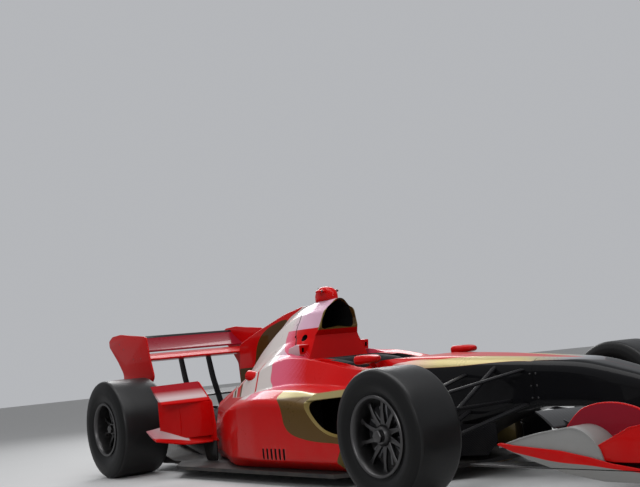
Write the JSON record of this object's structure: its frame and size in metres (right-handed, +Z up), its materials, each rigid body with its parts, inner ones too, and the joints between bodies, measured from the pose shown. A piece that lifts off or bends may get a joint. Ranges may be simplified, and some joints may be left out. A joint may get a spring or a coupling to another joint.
{
  "type": "open wheel racing car",
  "caption": "Single-seat open wheel racing car with swept wings, sidepods, airbox and fin; its wheels spin freely and the front wheels steer together.",
  "frame": {"origin": "on the ground, at the centre of the car's length and width", "axes": "+X towards the nose, +Y to the driver's left, +Z up"},
  "size_m": [4.93, 1.8802, 1.087],
  "materials": {
    "body_paint": "glossy red paint over composite panels",
    "wing_white": "glossy off-white paint",
    "carbon_gloss": "lacquered woven carbon composite",
    "carbon_matt": "bare woven carbon composite",
    "tyre_rubber": "scrubbed slick rubber",
    "wheel_alloy": "dark forged alloy",
    "headrest_pad": "foam covered in smooth red cloth",
    "grip": "moulded grips",
    "radiator_core": "dark finned core",
    "plank_resin": "laminated wood composite",
    "engine_alloy": "cast alloy",
    "shaft_steel": "heat-tinted steel"
  },
  "bodies": {
    "chassis": {"bargeboards": "carbon_gloss", "camera_pod": "body_paint", "cockpit_surround": "headrest_pad", "crash_box": "carbon_gloss", "diffuser": "carbon_matt", "engine_block": "engine_alloy", "engine_cover": "body_paint", "engine_fin": "body_paint", "exhausts": "shaft_steel", "floor": "carbon_matt", "front_endplates": "body_paint", "front_wing_flaps": "wing_white", "front_wing_main": "wing_white", "front_wishbones_left": "carbon_gloss", "front_wishbones_right": "carbon_gloss", "gearbox": "engine_alloy", "mirrors": "body_paint", "nose_cone": "body_paint", "radiators": "radiator_core", "rear_beam_wing": "carbon_gloss", "rear_endplates": "body_paint", "rear_flip_ups": "body_paint", "rear_upright_left": "carbon_matt", "rear_upright_right": "carbon_matt", "rear_wing_flap": "body_paint", "rear_wing_main": "body_paint", "rear_wing_pylons": "carbon_gloss", "rear_wishbones_left": "carbon_gloss", "rear_wishbones_right": "carbon_gloss", "seat": "carbon_matt", "sidepod_left": "body_paint", "sidepod_right": "body_paint", "skid_plank": "plank_resin", "steering_wheel": "grip", "tub": "body_paint"},
    "knuckle_left": {"front_upright_left": "carbon_matt"},
    "knuckle_right": {"front_upright_right": "carbon_matt"},
    "steering_bar": {"steering_rack": "carbon_gloss"},
    "wheel_front_left": {"front_tyre_left": "tyre_rubber", "front_rim_left": "wheel_alloy"},
    "wheel_front_right": {"front_tyre_right": "tyre_rubber", "front_rim_right": "wheel_alloy"},
    "wheel_rear_left": {"rear_tyre_left": "tyre_rubber", "rear_rim_left": "wheel_alloy", "driveshaft_left": "shaft_steel"},
    "wheel_rear_right": {"rear_tyre_right": "tyre_rubber", "rear_rim_right": "wheel_alloy", "driveshaft_right": "shaft_steel"}
  },
  "joints": [
    {"name": "steer_left", "type": "hinge", "parent": "chassis", "child": "knuckle_left", "pos_m": [1.215, 0.752, 0.292], "axis": [0, 0, 1], "range_deg": [-16, 16]},
    {"name": "steer_right", "type": "hinge", "parent": "chassis", "child": "knuckle_right", "pos_m": [1.215, -0.752, 0.292], "axis": [0, 0, 1], "range_deg": [-16, 16]},
    {"name": "rack_slide", "type": "slide", "parent": "chassis", "child": "steering_bar", "axis": [0, 1, 0], "range_m": [-0.0226, 0.0226]},
    {"name": "spin_front_left", "type": "hinge", "parent": "knuckle_left", "child": "wheel_front_left", "pos_m": [1.215, 0.8075, 0.292], "axis": [0, 1, 0], "continuous": true},
    {"name": "spin_front_right", "type": "hinge", "parent": "knuckle_right", "child": "wheel_front_right", "pos_m": [1.215, -0.8075, 0.292], "axis": [0, 1, 0], "continuous": true},
    {"name": "spin_rear_left", "type": "hinge", "parent": "chassis", "child": "wheel_rear_left", "pos_m": [-1.785, 0.715, 0.325], "axis": [0, 1, 0], "continuous": true},
    {"name": "spin_rear_right", "type": "hinge", "parent": "chassis", "child": "wheel_rear_right", "pos_m": [-1.785, -0.715, 0.325], "axis": [0, 1, 0], "continuous": true}
  ],
  "couplings": [
    {"joint": "steer_right", "follows": "steer_left", "ratio": 1},
    {"joint": "rack_slide", "follows": "steer_left", "m_per_rad": 0.08}
  ]
}
